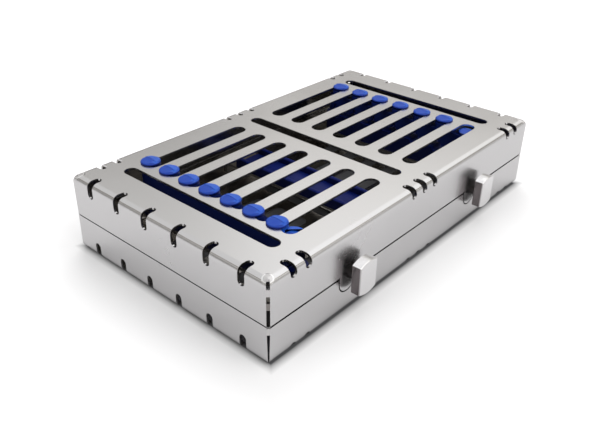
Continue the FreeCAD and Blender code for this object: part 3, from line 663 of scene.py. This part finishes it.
def add_button(shape, middle, rise, sizes, steps=64):
    """A moulded head: rounded rim, two shallow slopes and a fine line where they meet."""
    height = rise - sizes.ridge
    flat = sizes.head_radius - sizes.button_round
    rings = []
    for reach, level in head_profile(sizes, height):
        ring = []
        for step in range(steps):
            turn = 2 * math.pi * step / steps
            x, y = reach * math.cos(turn), reach * math.sin(turn)
            on_top = level >= height - RING_SLACK
            slope = sizes.ridge * max(0.0, 1 - abs(x) / flat) if on_top else 0.0
            slope *= math.sqrt(max(0.0, 1 - (y / flat) ** 2)) if slope else 1.0
            ring.append(shape.verts.new(middle + Vector((x, y, level + slope))))
        rings.append(ring)
    for first, second in zip(rings, rings[1:]):
        for step in range(steps):
            after = (step + 1) % steps
            shape.faces.new((first[step], first[after], second[after], second[step]))
    peak = shape.verts.new(middle + Vector((0, 0, height + sizes.ridge)))
    for step in range(steps):
        shape.faces.new((rings[-1][step], rings[-1][(step + 1) % steps], peak))
    add_mould_line(shape, middle + Vector((0, 0, height)), flat, sizes)


def add_mould_line(shape, middle, reach, sizes, steps=24):
    """A low bead that follows the ridge of a head."""
    rows = []
    for step in range(steps + 1):
        y = reach * LINE_SHARE * (2 * step / steps - 1)
        rise = sizes.ridge * math.sqrt(max(0.0, 1 - (y / reach) ** 2))
        taper = min(1.0, (steps / 2 - abs(step - steps / 2)) / 2)
        rows.append([shape.verts.new(middle + Vector((across * sizes.bead, y,
                                                      rise + up * sizes.bead * taper)))
                     for across, up in LINE_PROFILE])
    for first, second in zip(rows, rows[1:]):
        for side in range(len(LINE_PROFILE) - 1):
            shape.faces.new((first[side], second[side], second[side + 1], first[side + 1]))


class CONTAINER_OT_hardware(bpy.types.Operator):
    """Finish of the latches and hinges"""

    bl_idname = "container.hardware"
    bl_label = "Latches and hinges"

    def execute(self, context):
        sizes = context.scene.container_sizes
        colours = context.scene.container_colours
        latch = steel_material("latch_steel", colours.latch, 0.2, grain=1500.0, bump=0.2)
        bright = steel_material("pin_steel", colours.bright, 0.18)
        hinge = steel_material("hinge_steel", colours.hinge, 0.35)
        # The sides of the thumb plates are darker in colour than their fronts.
        darken_facing(latch, "X", "ABSOLUTE", colours.latch_side)
        # Painted shade on the backs, which face the wall, and a painted dark reflection of the tops
        # in the walls.
        darken_facing(latch, "Y", "MULTIPLY", colours.latch_shade)
        dim_mirrored_tops(latch, colours.latch_shade)
        # Painted shade: the shanks between the thumb plates and the wall are near black.
        shank = steel_material("latch_shank_shade", colours.latch_shade, 0.3, grain=1500.0,
                               bump=0.2)
        for side in SIDES:
            dress([f"latch_shank_{side}", f"latch_cam_{side}"], shank)
            head = add_copy(f"latch_head_{side}", "_cast")
            soften(head, sizes.latch_edge, 3, angle=20.0)
            finish_piece(head, f"latch_{side}", latch, f"latch_head_{side}")
            dress([f"latch_washer_{side}", f"latch_ring_{side}", f"hinge_pin_{side}"], bright)
            dress([f"hinge_base_leaf_{side}", f"hinge_lid_leaf_{side}"], hinge)
        return {"FINISHED"}


def mould_heads(mesh, sizes):
    """Change the plain discs of a lid rail into moulded heads."""
    under = sizes.lid_top - sizes.sheet
    stands = sizes.lid_top + sizes.button_float
    sunk = under - sizes.button_height
    levels = ((stands, stands + sizes.button_height), (sunk, under - sizes.button_float))
    heads = [(low, top, middle) for low, top in levels for middle in heads_of(mesh, low, top)]

    def owns(low, top, middle, face):
        return all(low - FACE_SLACK < vertex.co.z < top + FACE_SLACK
                   and (vertex.co.xy - middle.xy).length < sizes.button_radius + FACE_SLACK
                   for vertex in face.verts)

    shape = bmesh.new()
    shape.from_mesh(mesh)
    plain = [face for face in shape.faces if any(owns(*head, face) for head in heads)]
    bmesh.ops.delete(shape, geom=plain, context="FACES")
    for low, top, middle in heads:
        rise = top - low
        if low > sizes.lid_top:
            middle.z = sizes.lid_top + sizes.head_foot
            rise = sizes.head_rise
        add_button(shape, middle, rise, sizes)
    shape.to_mesh(mesh)
    shape.free()


class CONTAINER_OT_rails(bpy.types.Operator):
    """Moulded silicone rails in place of the plain solids"""

    bl_idname = "container.rails"
    bl_label = "Silicone rails"

    def execute(self, context):
        sizes = context.scene.container_sizes
        colours = context.scene.container_colours
        # Painted shade: the heads' left slopes and upright sides, and the rails under the lid and
        # behind the sunk heads.
        shades = ((slope_group("left_slope_shade", "X", LEFT_SLOPE), colours.silicone_left_shade),
                  (slope_group("side_slope_shade", "Z", SIDE_SLOPE), colours.silicone_side_shade),
                  (depth_shade_group(sizes), colours.silicone_deep_shade),
                  (bar_shade_group(sizes), colours.silicone_deep_shade))
        finishes = {"lid": silicone_material("silicone_blue", colours.silicone, shades),
                    "base": silicone_material("silicone_shade", colours.silicone_base_shade)}
        rails = {f"lid_rail_{side}": "lid" for side in SIDES}
        rails.update({f"base_rail_{side}": "base" for side in (*SIDES, "centre")})
        for name, body in rails.items():
            item = add_copy(name, "_moulded")
            if body == "lid":
                mould_heads(item.data, sizes)
            soften(item, sizes.edge, 2)
            finish_piece(item, body, finishes[body], name)
        return {"FINISHED"}


def add_surroundings(scene):
    """Studio surroundings: brightness by height above the horizon and by side, white in view."""
    scene.world = bpy.data.worlds.new("studio")
    scene.world.use_nodes = True
    tree = scene.world.node_tree
    links = tree.links
    coords = add_node(tree, "ShaderNodeTexCoord")
    sky = add_node(tree, "ShaderNodeValToRGB")
    fill_ramp(sky, SKY)
    links.new(split_coords(tree, "Generated")["Z"], sky.inputs["Fac"])
    glow = add_node(tree, "ShaderNodeValToRGB")
    fill_ramp(glow, GLOW)
    towards = add_node(tree, "ShaderNodeVectorMath", operation="DOT_PRODUCT")
    towards.inputs[1].default_value = GLOW_SIDE
    links.new(coords.outputs["Generated"], towards.inputs[0])
    links.new(math_node(tree, "ADD", towards.outputs["Value"], 0.5), glow.inputs["Fac"])
    shining = tree.nodes["Background"]
    links.new(mix_colours(tree, 1.0, sky.outputs["Color"], glow.outputs["Color"], "MULTIPLY"),
              shining.inputs["Color"])
    white = add_node(tree, "ShaderNodeBackground", {"Color": (1.0, 1.0, 1.0, 1.0)})
    path = add_node(tree, "ShaderNodeLightPath")
    mix = add_node(tree, "ShaderNodeMixShader")
    links.new(path.outputs["Is Camera Ray"], mix.inputs[0])
    links.new(shining.outputs[0], mix.inputs[1])
    links.new(white.outputs[0], mix.inputs[2])
    links.new(mix.outputs[0], tree.nodes["World Output"].inputs["Surface"])


def add_lamps(scene):
    """Soft lamps that aim at the frame's origin and that the steel does not mirror."""
    for name, place, size, power in LAMPS:
        lamp = bpy.data.lights.new(name, "AREA")
        lamp.shape = "SQUARE"
        lamp.size = size
        lamp.energy = power
        item = bpy.data.objects.new(name, lamp)
        item.location = place
        item.visible_glossy = False
        item.rotation_euler = (-Vector(place)).to_track_quat("-Z", "Y").to_euler()
        scene.collection.objects.link(item)


def camera_place():
    """Where the photograph was taken from."""
    level = math.cos(CAMERA_HEIGHT)
    back = Vector((math.sin(CAMERA_AZIMUTH) * level, -math.cos(CAMERA_AZIMUTH) * level,
                   math.sin(CAMERA_HEIGHT)))
    ahead = -back
    right = ahead.cross(Vector((0, 0, 1))).normalized()
    down = ahead.cross(right)
    turned_right = math.cos(CAMERA_ROLL) * right + math.sin(CAMERA_ROLL) * down
    turned_down = -math.sin(CAMERA_ROLL) * right + math.cos(CAMERA_ROLL) * down
    place = CAMERA_SHIFT - (turned_right * CAMERA_OFFSET.x + turned_down * CAMERA_OFFSET.y
                            + ahead * CAMERA_OFFSET.z)
    turn = Matrix((turned_right, -turned_down, back)).transposed()
    return Matrix.Translation(place) @ turn.to_4x4()


class CONTAINER_OT_stage(bpy.types.Operator):
    """Floor, studio light and the camera of the photograph"""

    bl_idname = "container.stage"
    bl_label = "Stage"

    def execute(self, context):
        scene = context.scene
        colours = scene.container_colours
        floor_mesh = bpy.data.meshes.new("floor")
        corners = [(x * FLOOR_HALF, y * FLOOR_HALF, 0)
                   for x, y in ((-1, -1), (1, -1), (1, 1), (-1, 1))]
        floor_mesh.from_pydata(corners, [], [(0, 1, 2, 3)])
        floor = bpy.data.objects.new("floor", floor_mesh)
        scene.collection.objects.link(floor)
        floor_mesh.materials.append(floor_material(colours, scene.container_sizes))
        add_surroundings(scene)
        add_lamps(scene)
        lens = bpy.data.cameras.new("camera")
        lens.sensor_width = SENSOR_WIDTH
        lens.lens = FOCAL_LENGTH
        lens.clip_start = NEAR_CLIP
        camera = bpy.data.objects.new("camera", lens)
        scene.collection.objects.link(camera)
        camera.matrix_world = camera_place()
        scene.camera = camera
        scene.view_settings.view_transform = "Standard"
        return {"FINISHED"}


class CONTAINER_PT_panel(bpy.types.Panel):
    """Lists the sizes, colours and steps"""

    bl_idname = "CONTAINER_PT_panel"
    bl_label = "Sterilization container"
    bl_space_type = "VIEW_3D"
    bl_region_type = "UI"
    bl_category = "Container"

    def draw(self, context):
        for group in (context.scene.container_sizes, context.scene.container_colours):
            for name in group.__annotations__:
                self.layout.prop(group, name)
        for step in STEPS:
            self.layout.operator(step.bl_idname)


STEPS = (CONTAINER_OT_steel, CONTAINER_OT_hardware, CONTAINER_OT_rails, CONTAINER_OT_stage)
CLASSES = (ContainerSizes, ContainerColours, *STEPS, CONTAINER_PT_panel)


def register():
    """Add the sizes, colours, steps and panel."""
    for item in CLASSES:
        bpy.utils.register_class(item)
    bpy.types.Scene.container_sizes = PointerProperty(type=ContainerSizes)
    bpy.types.Scene.container_colours = PointerProperty(type=ContainerColours)


def unregister():
    """Take them away again."""
    del bpy.types.Scene.container_colours
    del bpy.types.Scene.container_sizes
    for item in reversed(CLASSES):
        bpy.utils.unregister_class(item)


def main():
    """Dress the container step by step."""
    register()
    bpy.ops.container.steel()
    bpy.ops.container.hardware()
    bpy.ops.container.rails()
    bpy.ops.container.stage()


if __name__ == "__main__":
    main()
